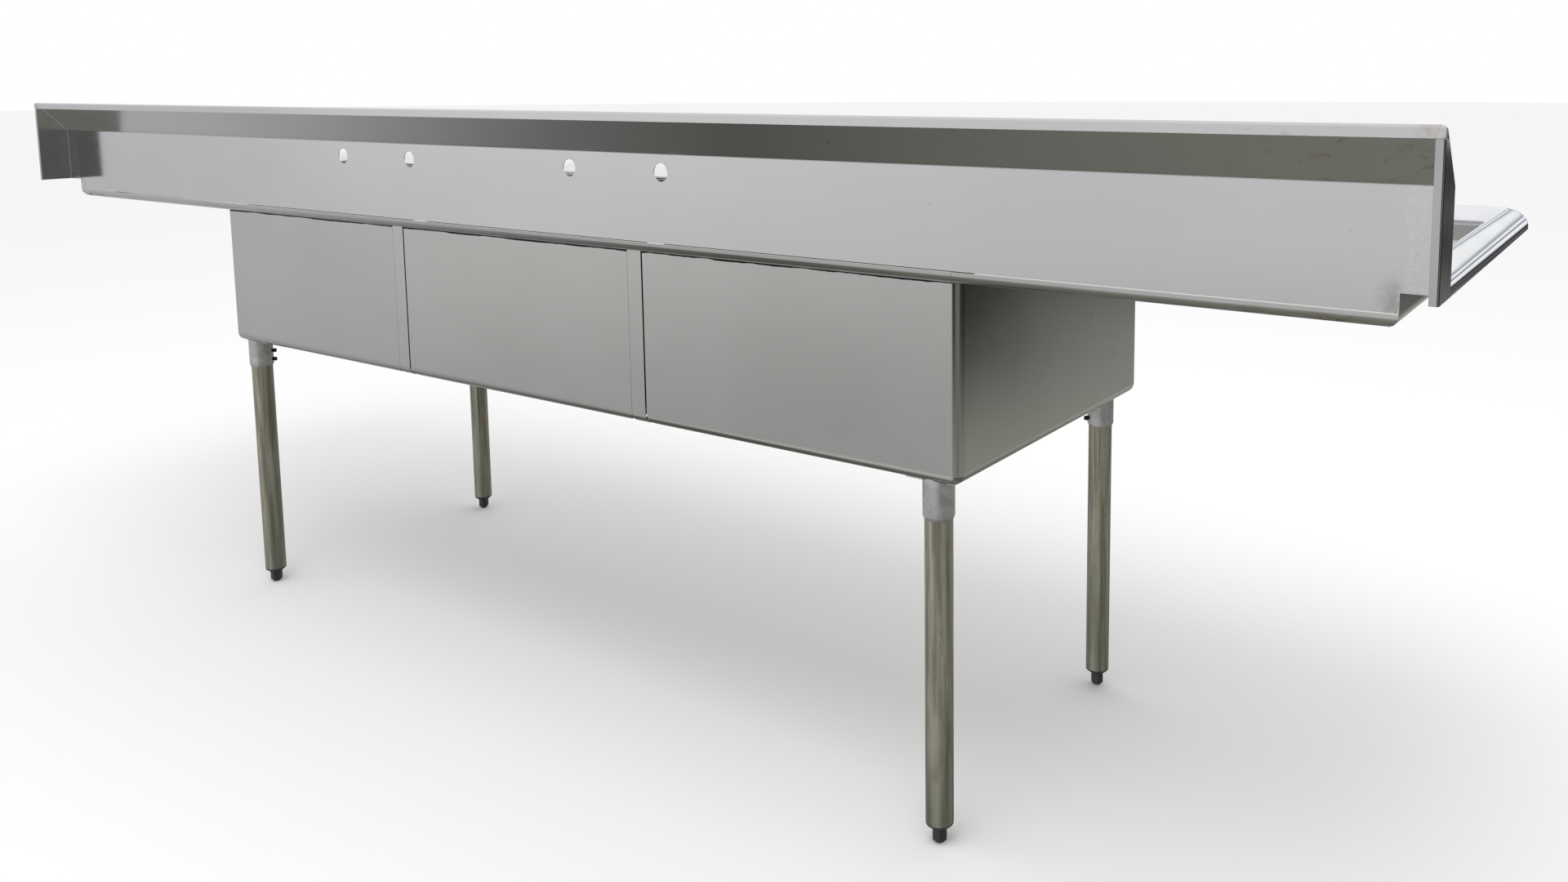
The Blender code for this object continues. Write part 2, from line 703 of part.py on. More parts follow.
def build_leg(word, place):
    centre = (place.x, place.y)
    inward = -math.copysign(1, place.x)
    bore_r = TUBE_R + GAP
    socket_r = bore_r + SOCKET_WALL
    socket = [
        (0, BOWL_BOTTOM + SOCKET_RISE),
        (socket_r, BOWL_BOTTOM + SOCKET_RISE),
        (socket_r, SOCKET_BOTTOM + SOCKET_CHAMFER_HEIGHT),
        (socket_r - SOCKET_CHAMFER, SOCKET_BOTTOM),
        (bore_r, SOCKET_BOTTOM),
        (bore_r, BOWL_BOTTOM - SOCKET_TOP),
        (0, BOWL_BOTTOM - SOCKET_TOP),
    ]
    sleeve = add_object("leg_socket_" + word, turned(socket, ROUND_STEPS, centre), ZINC)

    # the plate lies under the flat of the bowl, clear of its rolled edge
    back = place.y > BOWL_MID_Y
    edge_x = -inward * (BOWLS_HALF - BOWL_R)
    edge_y = BOWL_BACK - BOWL_R if back else BOWL_FRONT + BOWL_R
    x_low, x_high = sorted((edge_x, edge_x + inward * PLATE_SIZE))
    y_low, y_high = sorted((edge_y, edge_y + (-PLATE_SIZE if back else PLATE_SIZE)))
    plate = box((x_low, y_low, BOWL_BOTTOM - PLATE_HEIGHT), (x_high, y_high, BOWL_BOTTOM + SHEET))
    combine(sleeve, add_guide("join_plate_" + word, plate), "UNION")
    bowl_place = 1 if place.x > 0 else -1
    fit = block(bowl_stations(bowl_place), BOWL_TOP, BOWL_BOTTOM, BOWL_R, GAP)
    combine(sleeve, add_guide("cut_socket_top_" + word, fit), "DIFFERENCE")

    tube = [
        (TUBE_R - TUBE_WALL, TUBE_BOTTOM),
        (TUBE_R, TUBE_BOTTOM),
        (TUBE_R, TUBE_TOP),
        (TUBE_R - TUBE_WALL, TUBE_TOP),
    ]
    add_object("leg_tube_" + word, turned(tube, ROUND_STEPS, centre), GALVANISED)

    # the screws point at the tube from the side nearest the sink's middle
    toward = Vector((inward, -1 if back else 1, 0)).normalized()
    screw_holes = []
    for number, drop in enumerate(SCREW_DROPS, 1):
        axis = Vector((place.x, place.y, BOWL_BOTTOM - drop))
        tip = axis + toward * (TUBE_R + GAP)
        head = axis + toward * (socket_r + GAP)
        name = f"set_screw_{word}_{number}"
        crown = cylinder(head, head + toward * SCREW_HEAD, SCREW_HEAD_R, SCREW_STEPS)
        screw = add_object(name, crown, BLACK_STEEL)
        shaft = cylinder(tip, head + toward * SCREW_HEAD / 2, SCREW_R, SCREW_STEPS)
        combine(screw, add_guide("join_" + name, shaft), "UNION")
        screw_holes.append(cylinder(axis, head + toward * SCREW_R, SCREW_R + GAP, SCREW_STEPS))
    combine(sleeve, add_guide("cut_screws_" + word, join(screw_holes)), "DIFFERENCE")

    collar_top = TUBE_BOTTOM - GAP
    collar_low = collar_top - COLLAR_HEIGHT
    stem_bore = FOOT_STEM_R + GAP
    plug_r = TUBE_R - TUBE_WALL - GAP
    insert = [
        (stem_bore, collar_low),
        (FOOT_R, collar_low),
        (TUBE_R, collar_top - COLLAR_STRAIGHT),
        (TUBE_R, collar_top),
        (plug_r, collar_top),
        (plug_r, collar_top + PLUG_LENGTH),
        (stem_bore, collar_top + PLUG_LENGTH),
    ]
    add_object("foot_insert_" + word, turned(insert, SMALL_ROUND_STEPS, centre), COLLAR_GREY)

    hexagon = [
        (0, 0),
        (FOOT_R - FOOT_CHAMFER, 0),
        (FOOT_R, FOOT_CHAMFER),
        (FOOT_R, FOOT_HEIGHT),
        (0, FOOT_HEIGHT),
    ]
    foot = add_object("foot_" + word, turned(hexagon, 6, centre), FOOT_BLACK, (*centre, 0))
    stem_ends = (*centre, FOOT_HEIGHT / 2), (*centre, FOOT_STEM_LENGTH)
    stem = cylinder(*stem_ends, FOOT_STEM_R, SMALL_ROUND_STEPS)
    combine(foot, add_guide("join_foot_stem_" + word, stem), "UNION")


# ---------------------------------------------------------------- the whole sink

def main():
    build_backsplash()
    build_end_cap("end_cap_left", 1)
    build_end_cap("end_cap_right", -1)
    build_rim()
    build_deck()
    build_drainboard("drainboard_left", 1)
    build_drainboard("drainboard_right", -1)
    for word, place in BOWLS.items():
        build_bowl(word, place)
        build_drain(word, place)
    for side, seam in (("left", 1), ("right", -1)):
        build_strip("back_strip_" + side, seam, 1)
        build_strip("front_strip_" + side, seam, -1)
    for word, place in LEGS.items():
        build_leg(word, place)


for leftover in list(bpy.data.objects):
    bpy.data.objects.remove(leftover)
main()
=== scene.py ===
import math

import bmesh
import bpy
from mathutils import Matrix, Vector


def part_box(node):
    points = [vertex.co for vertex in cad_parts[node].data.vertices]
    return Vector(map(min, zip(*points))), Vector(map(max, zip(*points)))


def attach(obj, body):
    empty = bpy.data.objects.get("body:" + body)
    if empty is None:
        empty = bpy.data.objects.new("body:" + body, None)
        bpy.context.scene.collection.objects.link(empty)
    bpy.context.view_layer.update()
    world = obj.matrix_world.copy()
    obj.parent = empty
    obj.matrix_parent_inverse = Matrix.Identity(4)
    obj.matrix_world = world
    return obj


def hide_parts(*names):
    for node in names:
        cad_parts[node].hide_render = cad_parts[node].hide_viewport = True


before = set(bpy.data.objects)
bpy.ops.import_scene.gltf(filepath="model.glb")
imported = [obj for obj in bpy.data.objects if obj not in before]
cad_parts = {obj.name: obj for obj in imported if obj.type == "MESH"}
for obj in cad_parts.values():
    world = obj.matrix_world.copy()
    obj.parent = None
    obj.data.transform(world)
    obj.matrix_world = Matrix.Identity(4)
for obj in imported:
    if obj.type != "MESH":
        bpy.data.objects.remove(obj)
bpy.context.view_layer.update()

# The camera stands behind the sink, to the right of its middle
CAMERA_AT = Vector((-1.7418, 1.6582, 1.1007))
CAMERA_YAW = 0.5663
CAMERA_PITCH = 0.1158
CAMERA_ROLL = -0.0035
CAMERA_LENS = 27.633
CAMERA_SENSOR = 36
CAMERA_SHIFT = (-0.09375, -0.1406)

# Sizes that the frame's boxes don't give, in metres
SHEET = 0.0015
GAP = 0.0003
SPLASH_STANDOFF = 0.0635
SLOPE_DROP = 0.0693
RETURN_HEIGHT = 0.0185
TOP_BEND_R = 0.003
SLOPE_BEND_R = 0.004
RETURN_CORNER_R = 0.0065
RETURN_LOW_R = 0.003
CORNER_CUT = 0.0075
SEAM_OPENING = 0.0010
CAP_FOLD_R = 0.003
SLOT_WIDENING = 0.0012
HEX_R = 0.0023
HEX_DEPTH = 0.0030
FAUCET_HOLE_R = 0.01425
FAUCET_SPACING = 0.2032
FAUCET_DROP = 0.098
TRAY_CORNER_R = 0.0205
RIM_WIDTH = 0.049
TUBE_WALL = 0.0015
EDGE_R = 0.0003
SOCKET_EDGE_R = 0.0005
INSERT_EDGE_R = 0.0004
FOOT_EDGE_R = 0.0008
SCREW_EDGE_R = 0.0005

MERGE = 0.00001

# How finely curves are drawn
CORNER_STEPS = 12
ROLL_STEPS = 36
BEND_STEPS = 8
ROUND_STEPS = 72
HEX_STEPS = 6

# Angles in degrees under which faces count as one flat face, as one smooth surface, or as no edge to round
FLAT_ANGLE = 0.5
SMOOTH_ANGLE = 35
TUBE_SMOOTH_ANGLE = 50
EDGE_ANGLE = 40

# Where stains and shades begin and where they are full: ends as distances from the middle, heights from the floor
GROUND_ENDS = (1.4885, 1.4925)
# Painted shade on the panel beside the end plates: where it lies along the length and in height
END_SHADE_FROM_MIDDLE = (1.455, 1.484)
END_SHADE_FROM_END = (1.496, 1.484)
END_SHADE_HEIGHT = (0.91, 0.86)
HEAT_ENDS = (1.500, 1.524)
HEAT_HEIGHT = (1.030, 1.040)
SOOT_ENDS = (1.25, 1.45)
# Where the painted shade inside the slots between the bowls lies
SLOT_FROM_MIDDLE = (0.29500, 0.29506)
SLOT_FROM_END = (0.32930, 0.32924)
STAIN_ENDS = (1.25, 1.47)
STAIN_HEIGHT = (0.853, 0.838)
DAMP_HEIGHT = (0.38, 0.06)
# Painted shade along the joint under the deck
JOINT_SHADE_DEPTH = 0.0080
JOINT_SHADE_WAVE = 0.0022
JOINT_SHADE_FADE = 0.0012

# The shade on a bowl's outer side runs along a slant, Y plus this share of Z, with a wavy edge
BOWL_SHADE = (0.62, 1.00)
BOWL_SHADE_SLANT = 0.75
BOWL_SHADE_WAVE = 0.07

# Colours of the stains and shades
GROUND_DARK, GROUND_PALE = (0.60, 0.61, 0.63), (0.74, 0.75, 0.77)
# Painted shade on the panel beside the end plates
END_SHADE_GREY = (0.22, 0.21, 0.19)
HEAT_BROWN = (0.42, 0.28, 0.20)
SPECK_GREY = (0.16, 0.15, 0.14)
SOOT_GREY = (0.30, 0.28, 0.25)
BOWL_SHADE_GREY = (0.13, 0.125, 0.115)
# Painted shade in the joint under the deck and inside the slots between the bowls
JOINT_SHADE_BLACK = (0.018, 0.018, 0.022)
STAIN_OLIVE = (0.27, 0.23, 0.16)
# Painted shade on the drainboards' end skirts under the rim
UNDER_RIM_SHADE_GREY = (0.10, 0.10, 0.098)
# Painted shade on the end plates' outer faces
OUTSIDE_SHADE_GREY = (0.26, 0.26, 0.27)

# The studio
FLOOR_R = 60
FLOOR_STEPS = 64
FLOOR_WHITE = (0.96, 0.96, 0.96)
LIGHT_AT = (-1.0, 1.5, 4.5)
LIGHT_AIM = (0, 0, 0.5)
LIGHT_SIZE = 3.0
LIGHT_POWER = 60

# What the steel mirrors. Each row is (height of the direction, light), from -1 straight down to 1 straight up.
ROOM = (
    (-1.0, (0.245, 0.24, 0.205)),
    (-0.866, (0.185, 0.182, 0.16)),
    (-0.747, (0.115, 0.113, 0.10)),
    (-0.65, (0.18, 0.18, 0.175)),
    (-0.562, (0.32, 0.32, 0.32)),
    (-0.447, (0.52, 0.52, 0.53)),
    (-0.30, (0.51, 0.51, 0.51)),
    (-0.22, (0.61, 0.61, 0.61)),
    (-0.15, (0.77, 0.77, 0.77)),
    (-0.08, (0.84, 0.84, 0.84)),
    (0.05, (0.96, 0.96, 0.96)),
    (1.0, (1.0, 1.0, 1.0)),
)
DIM_SIDE = (
    (-0.65, (0.18, 0.18, 0.18)),
    (-0.562, (0.32, 0.32, 0.32)),
    (-0.447, (0.52, 0.52, 0.53)),
    (-0.30, (0.52, 0.52, 0.53)),
    (-0.20, (0.60, 0.60, 0.60)),
    (0.0, (0.66, 0.66, 0.68)),
    (0.3, (0.9, 0.9, 0.9)),
)
LIT_FLOOR = (
    (-1.0, (0.30, 0.30, 0.28)),
    (-0.80, (0.55, 0.54, 0.52)),
    (-0.57, (0.75, 0.75, 0.74)),
    (-0.40, (0.60, 0.60, 0.60)),
    (-0.30, (0.51, 0.51, 0.51)),
    (-0.22, (0.61, 0.61, 0.61)),
    (-0.15, (0.77, 0.77, 0.77)),
)
DARK_SIDE = (
    (-0.60, (0.15, 0.15, 0.14)),
    (-0.36, (0.46, 0.455, 0.40)),
    (-0.29, (0.30, 0.297, 0.265)),
    (-0.22, (0.05, 0.048, 0.042)),
    (-0.02, (0.035, 0.033, 0.030)),
    (0.08, (0.30, 0.30, 0.30)),
    (0.20, (0.9, 0.9, 0.9)),
)
FAR_END = (
    (-0.60, (0.15, 0.15, 0.14)),
    (-0.36, (0.50, 0.495, 0.45)),
    (-0.20, (0.33, 0.328, 0.305)),
    (-0.13, (0.06, 0.06, 0.065)),
    (-0.10, (0.12, 0.12, 0.13)),
    (-0.075, (0.04, 0.04, 0.045)),
    (-0.055, (0.05, 0.05, 0.055)),
    (-0.035, (0.80, 0.81, 0.83)),
    (0.00, (1.0, 1.0, 1.0)),
    (0.015, (0.95, 0.95, 0.96)),
    (0.028, (0.22, 0.25, 0.30)),
    (0.045, (0.30, 0.33, 0.38)),
    (0.058, (0.92, 0.93, 0.95)),
    (0.08, (1.0, 1.0, 1.0)),
    (0.095, (0.35, 0.38, 0.43)),
    (0.115, (0.42, 0.45, 0.49)),
    (0.13, (0.72, 0.74, 0.77)),
    (0.15, (0.93, 0.93, 0.94)),
    (0.19, (0.98, 0.98, 0.98)),
)
GREY_SIDE = (
    (-1.0, (0.19, 0.19, 0.185)),
    (0.0, (0.23, 0.23, 0.225)),
    (1.0, (0.21, 0.21, 0.205)),
)
# The parts of the room that differ: (direction, angle from it where the part begins, angle where it is full, light)
FLAGS = (
    ((1.0, 0.0, -0.1), 38, 15, DIM_SIDE),
    ((0.2, 0.8, -0.6), 44, 20, LIT_FLOOR),
    ((-0.05, -1.0, 0.0), 48, 28, FAR_END),
    ((-0.93, 0.05, 0.05), 71, 62, DARK_SIDE),
    ((-0.93, 0.36, -0.04), 26, 14, GREY_SIDE),
)

BOWLS = ("left", "center", "right")
LEGS = ("back_left", "back_right", "front_left", "front_right")

# ---------------------------------------------------------------- places from the frame

splash_low, splash_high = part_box("backsplash")
rim_low, rim_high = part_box("rolled_rim")
_, deck_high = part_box("sink_deck")
HALF_LENGTH = splash_high.x
WALL_Y = splash_high.y
TOP_Z = splash_high.z
PANEL_FRONT = WALL_Y - SPLASH_STANDOFF - SHEET
PANEL_LOW = splash_low.z
RIM_TOP = rim_high.z
SKIRT_Z = deck_high.z
DECK_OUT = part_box("drainboard_left")[1].x
SKIRT_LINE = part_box("bowl_left")[1].z
BOWL_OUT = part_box("bowl_left")[1].x
PLATE_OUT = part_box("end_cap_left")[1].x
SPLASH_CORNERS = (
    (WALL_Y, TOP_Z - RETURN_HEIGHT),
    (WALL_Y, TOP_Z),
    (PANEL_FRONT, TOP_Z - SLOPE_DROP),
    (PANEL_FRONT, PANEL_LOW + SEAM_OPENING),
)
END_X = HALF_LENGTH - RIM_WIDTH
FRONT_Y = rim_low.y + RIM_WIDTH


# ---------------------------------------------------------------- mesh helpers

def shade(mesh, smooth_angle):
    """Smooth shading, sharp where faces meet at more than the angle."""
    mesh.shade_smooth()
    mesh.set_sharp_from_angle(angle=math.radians(smooth_angle))


def add_piece(name, bm, look, body="sink", smooth_angle=SMOOTH_ANGLE):
    """Turns a bmesh into a piece of the object that moves with a body."""
    mesh = bpy.data.meshes.new(name)
    bm.to_mesh(mesh)
    bm.free()
    shade(mesh, smooth_angle)
    piece = bpy.data.objects.new(name, mesh)
    bpy.context.scene.collection.objects.link(piece)
    paint(piece, look)
    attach(piece, body)
    return piece


def paint(piece, look):
    """Gives a piece its material and slot."""
    piece.data.materials.clear()
    piece.data.materials.append(look)


def settle(piece):
    """Puts a piece's modifiers into its mesh."""
    evaluated = piece.evaluated_get(bpy.context.evaluated_depsgraph_get())
    mesh = bpy.data.meshes.new_from_object(evaluated)
    piece.modifiers.clear()
    piece.data = mesh
    shade(mesh, SMOOTH_ANGLE)


def cut(piece, bm):
    """Cuts a bmesh out of a piece."""
    mesh = bpy.data.meshes.new("cutter")
    bmesh.ops.recalc_face_normals(bm, faces=bm.faces)
    bm.to_mesh(mesh)
    bm.free()
    cutter = bpy.data.objects.new("cutter", mesh)
    bpy.context.scene.collection.objects.link(cutter)
    modifier = piece.modifiers.new("cut", "BOOLEAN")
    modifier.operation = "DIFFERENCE"
    modifier.solver = "EXACT"
    modifier.object = cutter
    bpy.context.view_layer.update()
    settle(piece)
    bpy.data.objects.remove(cutter)


def keep_flat(piece):
    """Leaves large flat faces flat where they meet small rounded ones."""
    normals = piece.modifiers.new("normals", "WEIGHTED_NORMAL")
    normals.keep_sharp = True


def round_edges(piece, width=EDGE_R, segments=2):
    """Small rounded edges, with flat faces left flat."""
    bevel = piece.modifiers.new("edges", "BEVEL")
    bevel.width = width
    bevel.segments = segments
    bevel.limit_method = "ANGLE"
    bevel.angle_limit = math.radians(EDGE_ANGLE)
    bevel.use_clamp_overlap = False
    bevel.miter_outer = "MITER_ARC"
    keep_flat(piece)


def arc(centre, radius, start, end, steps):
    """Points round centre in 2-D, from start to end degrees."""
    angles = [math.radians(start + (end - start) * k / steps) for k in range(steps + 1)]
    return [Vector((centre[0] + radius * math.cos(a), centre[1] + radius * math.sin(a))) for a in angles]


def filleted(corners, radii):
    """A path through 2-D corners, with an arc of the given radius at each inner corner."""
    path = [Vector(corners[0])]
    for k in range(1, len(corners) - 1):
        here = Vector(corners[k])
        back = (Vector(corners[k - 1]) - here).normalized()
        ahead = (Vector(corners[k + 1]) - here).normalized()
        half = back.angle(ahead) / 2
        middle = (back + ahead).normalized()
        centre = here + middle * (radii[k - 1] / math.sin(half))
        first = here + back * (radii[k - 1] / math.tan(half)) - centre
        last = here + ahead * (radii[k - 1] / math.tan(half)) - centre
        start = math.degrees(math.atan2(first.y, first.x))
        end = math.degrees(math.atan2(last.y, last.x))
        path += arc(centre, radii[k - 1], start, start + (end - start + 180) % 360 - 180, BEND_STEPS)
    path.append(Vector(corners[-1]))
    return path


def offset_path(path, distance):
    """The path moved sideways by distance, to the left of its direction of travel."""
    moved = []
    for k, point in enumerate(path):
        before = (point - path[k - 1]).normalized() if k else None
        after = (path[k + 1] - point).normalized() if k < len(path) - 1 else None
        before = before or after
        after = after or before
        left = Vector((-(before.y + after.y), before.x + after.x)).normalized()
        moved.append(point + left * (distance / left.dot(Vector((-after.y, after.x)))))
    return moved


def sweep(sections):
    """A bent sheet: each section is (one side's points, other side's points), in 3-D."""
    bm = bmesh.new()
    rows = [[bm.verts.new(p) for p in (*near, *reversed(far))] for near, far in sections]
    count = len(rows[0])
    for low, high in zip(rows, rows[1:]):
        for k in range(count):
            bm.faces.new((low[k], low[(k + 1) % count], high[(k + 1) % count], high[k]))
    for row in (rows[0], rows[-1]):
        for k in range(count // 2 - 1):
            bm.faces.new((row[k], row[k + 1], row[count - 2 - k], row[count - 1 - k]))
    bmesh.ops.recalc_face_normals(bm, faces=bm.faces)
    return bm


def turned(outline, centre):
    """The closed (radius, z) outline spun a full turn about the vertical axis at centre."""
    bm = bmesh.new()
    verts = [bm.verts.new((centre[0] + r, centre[1], z)) for r, z in outline]
    edges = [bm.edges.new((verts[k - 1], verts[k])) for k in range(len(verts))]
    edges = [e for e in edges if any(abs(v.co.x - centre[0]) > MERGE for v in e.verts)]
    bmesh.ops.spin(
        bm, geom=[*verts, *edges], cent=(*centre, 0), axis=(0, 0, 1), angle=2 * math.pi, steps=ROUND_STEPS
    )
    bmesh.ops.remove_doubles(bm, verts=bm.verts, dist=MERGE)
    bmesh.ops.delete(bm, geom=[e for e in bm.edges if not e.link_faces], context="EDGES")
    bmesh.ops.recalc_face_normals(bm, faces=bm.faces)
    return bm


def cylinder(start, end, radius, steps):
    bm = bmesh.new()
    start, end = Vector(start), Vector(end)
    turn = (end - start).to_track_quat("Z", "Y").to_matrix().to_4x4()
    bmesh.ops.create_cone(
        bm, cap_ends=True, segments=steps, radius1=radius, radius2=radius,
        depth=(end - start).length, matrix=Matrix.Translation((start + end) / 2) @ turn,
    )
    return bm


def block(low, high):
    bm = bmesh.new()
    size = Vector(high) - Vector(low)
    place = Matrix.Translation((Vector(low) + Vector(high)) / 2) @ Matrix.Diagonal((*size, 1))
    bmesh.ops.create_cube(bm, size=1, matrix=place)
    return bm


def join(parts):
    """One bmesh out of several, which are used up."""
    whole = bmesh.new()
    for part in parts:
        mesh = bpy.data.meshes.new("part")
        part.to_mesh(mesh)
        part.free()
        whole.from_mesh(mesh)
        bpy.data.meshes.remove(mesh)
    return whole


# ---------------------------------------------------------------- materials

class Look:
    """A material built from procedural nodes, in the object's own metres."""

    def __init__(self, name, slot, metallic, **fixed):
        self.made = bpy.data.materials.new(name)
        self.made.use_nodes = True
        self.made["slot"] = slot
        self.tree = self.made.node_tree
        self.shader = self.tree.nodes["Principled BSDF"]
        self.shader.inputs["Metallic"].default_value = metallic
        for socket, value in fixed.items():
            self.shader.inputs[socket.replace("_", " ")].default_value = value
        self.place = self.tree.nodes.new("ShaderNodeTexCoord").outputs["Object"]

    def node(self, kind, **settings):
        made = self.tree.nodes.new("ShaderNode" + kind)
        for name, value in settings.items():
            setattr(made, name, value)
        return made

    def feed(self, socket, value):
        if isinstance(value, bpy.types.NodeSocket):
            self.tree.links.new(value, socket)
        else:
            socket.default_value = value

    def noise(self, stretch, detail=3.0, rough=0.55, distortion=0.0):
        """Noise with its own number of grains per metre along X, Y and Z."""
        scaled = self.node("Mapping")
        self.feed(scaled.inputs["Vector"], self.place)
        scaled.inputs["Scale"].default_value = stretch
        made = self.node("TexNoise")
        self.feed(made.inputs["Vector"], scaled.outputs["Vector"])
        made.inputs["Scale"].default_value = 1.0
        made.inputs["Detail"].default_value = detail
        made.inputs["Roughness"].default_value = rough
        made.inputs["Distortion"].default_value = distortion
        return made.outputs["Fac"]

    def band(self, value, low, high, to_low=0.0, to_high=1.0):
        made = self.node("MapRange", interpolation_type="SMOOTHSTEP")
        for socket, given in zip(made.inputs, (value, low, high, to_low, to_high)):
            self.feed(socket, given)
        return made.outputs["Result"]

    def maths(self, operation, a, b):
        made = self.node("Math", operation=operation)
        self.feed(made.inputs[0], a)
        self.feed(made.inputs[1], b)
        return made.outputs["Value"]

    def times(self, *values):
        product = values[0]
        for value in values[1:]:
            product = self.maths("MULTIPLY", product, value)
        return product

    def mix(self, share, a, b):
        made = self.node("Mix", data_type="RGBA")
        self.feed(made.inputs["Factor"], share)
        self.feed(made.inputs["A"], (*a, 1.0) if isinstance(a, tuple) else a)
        self.feed(made.inputs["B"], (*b, 1.0) if isinstance(b, tuple) else b)
        return made.outputs["Result"]

    def axis(self, name):
        made = self.node("SeparateXYZ")
        self.feed(made.inputs["Vector"], self.place)
        return made.outputs[name]

    def from_middle(self):
        """The distance from the middle of the sink, along its length."""
        return self.maths("ABSOLUTE", self.axis("X"), 0.0)

    def colour(self, value):
        self.feed(self.shader.inputs["Base Color"], value)

    def roughness(self, value):
        self.feed(self.shader.inputs["Roughness"], value)

    def bump(self, *layers):
        """Each layer is (height, depth in metres, strength)."""
        normal = None
        for height, depth, strength in layers:
            made = self.node("Bump")
            made.inputs["Distance"].default_value = depth
            made.inputs["Strength"].default_value = strength
            self.feed(made.inputs["Height"], height)
            if normal:
                self.feed(made.inputs["Normal"], normal)
            normal = made.outputs["Normal"]
        self.feed(self.shader.inputs["Normal"], normal)


def brushed_steel(name, slot, bright, dull, smooth, rough, grain="x", smudge=0.12, zones=None):
    """Steel with fine brush lines along the grain, faint clouds and hand smudges."""
    look = Look(name, slot, 1.0)
    fine = {"x": (5, 700, 700), "y": (700, 5, 700), "z": (700, 700, 5)}[grain]
    wide = {"x": (1.2, 60, 60), "y": (60, 1.2, 60), "z": (60, 60, 1.2)}[grain]
    lines = look.noise(fine, 2.0)
    streaks = look.noise(wide, 3.0)
    clouds = look.noise((2.3, 2.3, 3.1), 4.0, 0.6)
    spots = look.noise((17, 17, 17), 5.0, 0.65, 0.4)
    marks = look.times(look.band(spots, 0.60, 0.78), look.band(clouds, 0.45, 0.6))
    tone = look.mix(look.band(clouds, 0.3, 0.7), dull, bright)
    shadow = tuple(c * 0.72 for c in dull)
    tone = look.mix(look.times(marks, smudge), tone, shadow)
    base = look.band(clouds, 0.25, 0.75, smooth, rough)
    base = look.maths("ADD", base, look.band(streaks, 0.25, 0.75, -0.012, 0.012))
    base = look.maths("ADD", base, look.times(marks, 0.08))
    base = look.maths("ADD", base, look.band(lines, 0.3, 0.7, -0.015, 0.015))
    if zones:
        tone, base = zones(look, tone, base)
    look.colour(tone)
    look.roughness(base)
    look.bump((lines, 0.00002, 0.3), (clouds, 0.004, 0.03))
    return look.made


def ground_ends_and_shade(look, tone, base):
    """Where the end plates were welded on: ground steel, dirt, painted shade on the panel beside the plates, and
    brown heat stains near the corner.
    """
    side = look.from_middle()
    grit = look.noise((160, 160, 240), 5.0, 0.7)
    blotch = look.noise((60, 60, 45), 4.0, 0.6, 0.5)
    flat = look.band(look.axis("Z"), TOP_Z - SLOPE_DROP + SHEET, TOP_Z - SLOPE_DROP - SHEET)
    ground = look.times(look.band(side, *GROUND_ENDS), flat)
    pale = look.mix(look.band(grit, 0.3, 0.7), GROUND_DARK, GROUND_PALE)
    tone = look.mix(look.times(ground, 0.7), tone, pale)
    base = look.maths("ADD", base, look.times(ground, look.band(grit, 0.3, 0.7, 0.08, 0.2)))
    # Painted shade: a dark patch on the panel beside the end plate
    end_patch_shade = look.times(
        look.band(side, *END_SHADE_FROM_MIDDLE), look.band(side, *END_SHADE_FROM_END),
        look.band(look.axis("Z"), *END_SHADE_HEIGHT), look.band(blotch, 0.35, 0.6),
    )
    tone = look.mix(look.times(end_patch_shade, 0.5), tone, END_SHADE_GREY)
    heat = look.times(
        look.band(side, *HEAT_ENDS), look.band(look.axis("Z"), *HEAT_HEIGHT), look.band(blotch, 0.42, 0.58),
        look.band(look.axis("Y"), WALL_Y - 2 * SHEET, WALL_Y - SHEET),
    )
    tone = look.mix(look.times(heat, 0.35), tone, HEAT_BROWN)
    specks = look.band(look.noise((95, 95, 120), 2.0, 0.5), 0.755, 0.785)
    tone = look.mix(look.times(specks, 0.7), tone, SPECK_GREY)
    slope = look.times(look.band(side, *SOOT_ENDS), look.maths("SUBTRACT", 1.0, flat))
    soot = look.times(look.band(look.noise((38, 38, 60), 4.0, 0.6, 0.8), 0.56, 0.70), slope)
    return look.mix(look.times(soot, 0.4), tone, SOOT_GREY), base


def joint_painted_shade(look, tone, base):
    """Painted shade: a dark line in the joint under the deck, black in the slots between the bowls, and shade on
    the two outer sides.
    """
    ragged = look.noise((14, 14, 60), 4.0, 0.6)
    # Painted shade along the joint under the deck, with a ragged edge
    low = look.maths("ADD", SKIRT_LINE - JOINT_SHADE_DEPTH, look.band(ragged, 0.35, 0.75, 0.0, JOINT_SHADE_WAVE))
    joint_shade = look.band(look.axis("Z"), low, look.maths("ADD", low, JOINT_SHADE_FADE))
    side = look.from_middle()
    # Painted shade inside the slots between the bowls
    slot = look.times(look.band(side, *SLOT_FROM_MIDDLE), look.band(side, *SLOT_FROM_END))
    dark = look.maths("MAXIMUM", joint_shade, slot)
    slant = look.maths("ADD", look.axis("Y"), look.times(look.axis("Z"), BOWL_SHADE_SLANT))
    wave = look.band(look.noise((5, 5, 4), 2.0), 0.3, 0.7, -BOWL_SHADE_WAVE, BOWL_SHADE_WAVE)
    high = look.band(look.maths("ADD", slant, wave), *BOWL_SHADE)
    high = look.times(high, look.band(side, BOWL_OUT - SHEET, BOWL_OUT - SHEET / 2))
    tone = look.mix(look.times(high, 0.5), tone, BOWL_SHADE_GREY)
    return look.mix(dark, tone, JOINT_SHADE_BLACK), look.maths("ADD", base, look.times(dark, 0.4))


